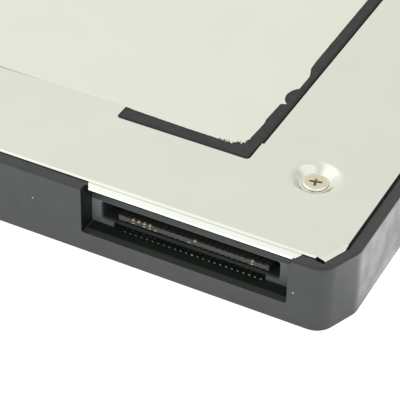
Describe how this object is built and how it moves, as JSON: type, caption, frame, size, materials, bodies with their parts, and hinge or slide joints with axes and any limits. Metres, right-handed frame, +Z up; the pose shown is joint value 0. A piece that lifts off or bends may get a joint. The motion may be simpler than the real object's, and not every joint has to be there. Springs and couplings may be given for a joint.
{
  "type": "solid state drive",
  "caption": "Slim rectangular solid state drive: black moulded frame, silver sheet covers, recessed two-row edge connector and stacked circuit boards inside.",
  "frame": {"origin": "middle of the underside, half way along and half way across", "axes": "+Z up through the drive, from the flat bottom cover to the silver top cover; -Y out of the connector end; +X to the right when facing the connector end, the connector's side"},
  "size_m": [0.0698, 0.1, 0.0095],
  "materials": {
    "moulded_frame": "fine-textured black moulding, slightly glossy at a low angle",
    "cover_sheet": "satin silver sheet",
    "base_sheet": "satin silver sheet",
    "label_foil": "satin silver foil, no print",
    "black_foam": "fine closed-cell foam",
    "nickel_screws": "warm nickel plate",
    "black_screws": "black oxide",
    "brass": "machined",
    "circuit_board": "dark green solder mask",
    "insulator_film": "translucent amber film",
    "connector_plastic": "grey-black moulding",
    "gold_contacts": "gold-plated strip",
    "tinned_steel": "bright tin plate",
    "stacking_plastic": "black moulding",
    "chip_package": "moulded epoxy",
    "solder": "reflowed solder",
    "thermal_pad": "soft grey-blue gap pad",
    "crystal_can": "plated can",
    "ferrite": "sintered grey",
    "tantalum_case": "ochre moulding",
    "ceramic_chip": "fired ceramic",
    "resistor_chip": "glazed",
    "spring_metal": "bright rolled strip"
  },
  "bodies": {
    "root": {"board_screws": "nickel_screws", "board_spacers": "brass", "board_standoffs": "brass", "boot_memory": "chip_package", "bottom_cover": "base_sheet", "bottom_cover_screws": "black_screws", "cache_memory": "chip_package", "ceramic_capacitors": "ceramic_chip", "clock_crystal": "crystal_can", "connector_gasket": "black_foam", "connector_hold_down": "tinned_steel", "connector_housing": "connector_plastic", "connector_lower_contacts": "gold_contacts", "connector_tail_solder": "solder", "connector_upper_contacts": "gold_contacts", "controller_chip": "chip_package", "controller_solder_bed": "solder", "controller_thermal_pad": "thermal_pad", "earth_springs": "spring_metal", "flash_board": "circuit_board", "flash_board_flash": "chip_package", "flash_pressure_pads": "thermal_pad", "frame": "moulded_frame", "insulator_film": "insulator_film", "label_foam_strip": "black_foam", "label_foil": "label_foil", "line_resistors": "resistor_chip", "main_board": "circuit_board", "main_board_flash": "chip_package", "mount_thread_inserts": "brass", "package_solder_beds": "solder", "power_inductors": "ferrite", "regulator_leads": "solder", "reservoir_capacitors": "tantalum_case", "stacking_contacts": "gold_contacts", "stacking_plug": "stacking_plastic", "stacking_socket": "stacking_plastic", "top_cover": "cover_sheet", "top_cover_inserts": "brass", "top_cover_screws": "nickel_screws", "voltage_regulator": "chip_package"}
  },
  "joints": []
}
